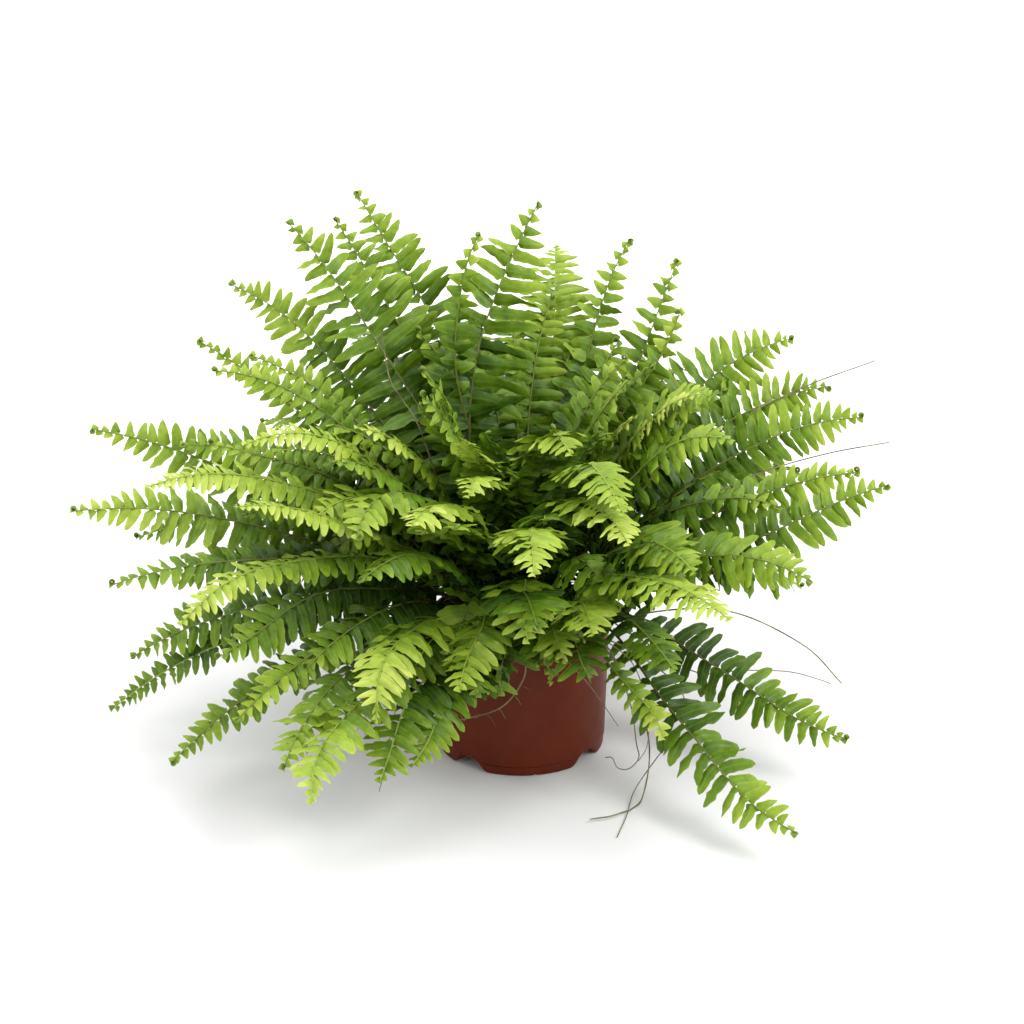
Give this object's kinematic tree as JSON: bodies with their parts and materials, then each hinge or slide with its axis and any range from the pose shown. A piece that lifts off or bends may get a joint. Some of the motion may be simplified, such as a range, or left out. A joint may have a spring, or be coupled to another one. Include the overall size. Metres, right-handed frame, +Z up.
{
  "type": "potted fern",
  "caption": "Bushy sword fern in a round plastic nursery pot: arching toothed fronds spring from a crown on the potting mix, with a few thin bare runners.",
  "frame": {"origin": "centre of the underside of the pot, on the surface that it stands on", "axes": "+Z up out of the pot, +X across the plant's widest spread to its right, +Y to its back"},
  "size_m": [0.5753, 0.5095, 0.3914],
  "materials": {
    "pot_plastic": "satin",
    "potting_mix": "matte",
    "rhizome": "matte",
    "fern_leaf": "satin",
    "runner_stem": "matte"
  },
  "bodies": {
    "root": {"pot": "pot_plastic", "potting_mix": "potting_mix", "crown": "rhizome", "frond_01": "fern_leaf", "frond_02": "fern_leaf", "frond_03": "fern_leaf", "frond_04": "fern_leaf", "frond_05": "fern_leaf", "frond_06": "fern_leaf", "frond_07": "fern_leaf", "frond_08": "fern_leaf", "frond_09": "fern_leaf", "frond_10": "fern_leaf", "frond_11": "fern_leaf", "frond_12": "fern_leaf", "frond_13": "fern_leaf", "frond_14": "fern_leaf", "frond_15": "fern_leaf", "frond_16": "fern_leaf", "frond_17": "fern_leaf", "frond_18": "fern_leaf", "frond_19": "fern_leaf", "frond_20": "fern_leaf", "frond_21": "fern_leaf", "frond_22": "fern_leaf", "frond_23": "fern_leaf", "frond_24": "fern_leaf", "frond_25": "fern_leaf", "frond_26": "fern_leaf", "frond_27": "fern_leaf", "frond_28": "fern_leaf", "frond_29": "fern_leaf", "frond_30": "fern_leaf", "frond_31": "fern_leaf", "frond_32": "fern_leaf", "frond_33": "fern_leaf", "frond_34": "fern_leaf", "frond_35": "fern_leaf", "frond_36": "fern_leaf", "frond_37": "fern_leaf", "frond_38": "fern_leaf", "frond_39": "fern_leaf", "frond_40": "fern_leaf", "frond_41": "fern_leaf", "frond_42": "fern_leaf", "frond_43": "fern_leaf", "frond_44": "fern_leaf", "frond_45": "fern_leaf", "frond_46": "fern_leaf", "frond_47": "fern_leaf", "frond_48": "fern_leaf", "frond_49": "fern_leaf", "frond_50": "fern_leaf", "frond_51": "fern_leaf", "frond_52": "fern_leaf", "runner_1": "runner_stem", "runner_2": "runner_stem", "runner_3": "runner_stem", "runner_4": "runner_stem", "runner_5": "runner_stem"}
  },
  "joints": []
}
